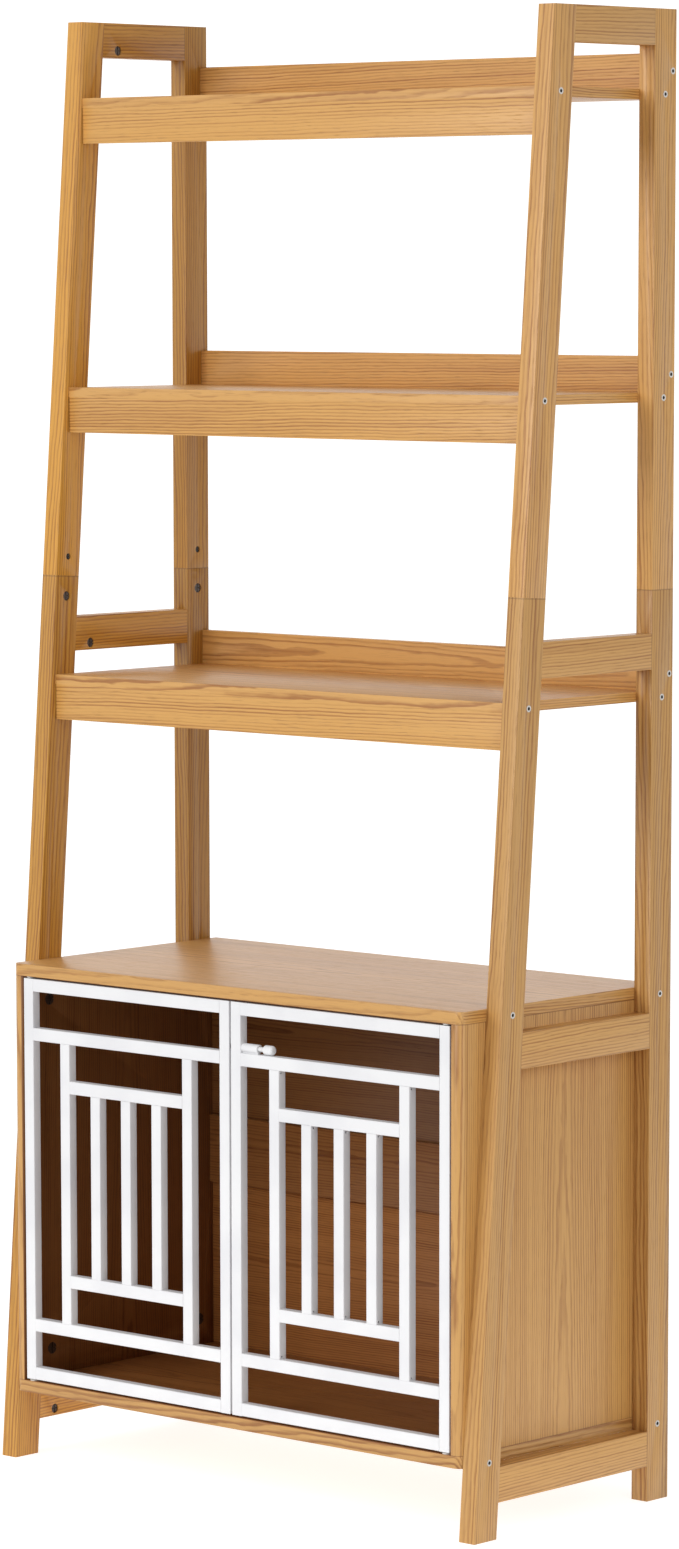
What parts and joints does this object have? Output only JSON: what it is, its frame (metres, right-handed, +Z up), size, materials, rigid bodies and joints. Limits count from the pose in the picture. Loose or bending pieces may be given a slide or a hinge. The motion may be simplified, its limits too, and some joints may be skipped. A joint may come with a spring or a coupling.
{
  "type": "ladder shelf",
  "caption": "Leaning ladder shelf in oak-coloured board: open shelves between slanted side frames, over a cabinet closed by a pair of white steel grille doors with a sliding latch.",
  "frame": {"origin": "on the floor, at the middle of the overall width and of the overall depth", "axes": "+Z up, +Y towards the back, +X to the right for someone who faces the doors"},
  "size_m": [0.79, 0.375, 1.8],
  "materials": {
    "oak_board": "satin oak laminate on board",
    "back_panel": "thin laminated fibreboard",
    "dowel_wood": "plain beech",
    "white_steel": "smooth white powder coat",
    "zinc_steel": "zinc plated",
    "cam_metal": "dull die-cast zinc alloy",
    "nylon": "moulded"
  },
  "bodies": {
    "frame_and_cabinet": {"cabinet_back_batten": "oak_board", "cabinet_back_panel_lower": "back_panel", "cabinet_back_panel_upper": "back_panel", "cabinet_bottom": "oak_board", "cabinet_left_side": "oak_board", "cabinet_right_side": "oak_board", "cabinet_top": "oak_board", "door_pivot_bushes": "nylon", "frame_cam_bolts": "zinc_steel", "frame_cam_locks": "cam_metal", "frame_dowels": "dowel_wood", "frame_screws": "zinc_steel", "left_bottom_rail": "oak_board", "left_cabinet_rail": "oak_board", "left_front_leg_lower": "oak_board", "left_front_leg_upper": "oak_board", "left_mid_rail": "oak_board", "left_rear_leg_lower": "oak_board", "left_rear_leg_upper": "oak_board", "left_top_rail": "oak_board", "leg_barrel_nuts": "zinc_steel", "lower_shelf_apron": "oak_board", "lower_shelf_back_board": "oak_board", "lower_shelf_board": "oak_board", "middle_shelf_apron": "oak_board", "middle_shelf_back_board": "oak_board", "middle_shelf_board": "oak_board", "panel_cam_bolts": "zinc_steel", "panel_cam_locks": "cam_metal", "right_bottom_rail": "oak_board", "right_cabinet_rail": "oak_board", "right_front_leg_lower": "oak_board", "right_front_leg_upper": "oak_board", "right_mid_rail": "oak_board", "right_rear_leg_lower": "oak_board", "right_rear_leg_upper": "oak_board", "right_top_rail": "oak_board", "shelf_dowels": "dowel_wood", "upper_shelf_apron": "oak_board", "upper_shelf_back_board": "oak_board", "upper_shelf_board": "oak_board"},
    "left_door": {"left_door_bottom_rail": "white_steel", "left_door_crossbars": "white_steel", "left_door_grille_bars": "white_steel", "left_door_hinge_stile": "white_steel", "left_door_inner_frame": "white_steel", "left_door_meeting_stile": "white_steel", "left_door_pivot_pins": "zinc_steel", "left_door_top_rail": "white_steel"},
    "right_door": {"latch_barrel": "white_steel", "right_door_bottom_rail": "white_steel", "right_door_crossbars": "white_steel", "right_door_grille_bars": "white_steel", "right_door_hinge_stile": "white_steel", "right_door_inner_frame": "white_steel", "right_door_meeting_stile": "white_steel", "right_door_pivot_pins": "zinc_steel", "right_door_top_rail": "white_steel"},
    "latch_bolt": {"latch_bolt": "white_steel"}
  },
  "joints": [
    {"name": "left_door_hinge", "type": "hinge", "parent": "frame_and_cabinet", "child": "left_door", "pos_m": [-0.3448, -0.17825, 0.36], "axis": [0, 0, -1], "range_deg": [0, 110]},
    {"name": "right_door_hinge", "type": "hinge", "parent": "frame_and_cabinet", "child": "right_door", "pos_m": [0.3448, -0.17825, 0.36], "axis": [0, 0, 1], "range_deg": [0, 110]},
    {"name": "latch_slide", "type": "slide", "parent": "right_door", "child": "latch_bolt", "axis": [-1, 0, 0], "range_m": [0, 0.01]}
  ]
}
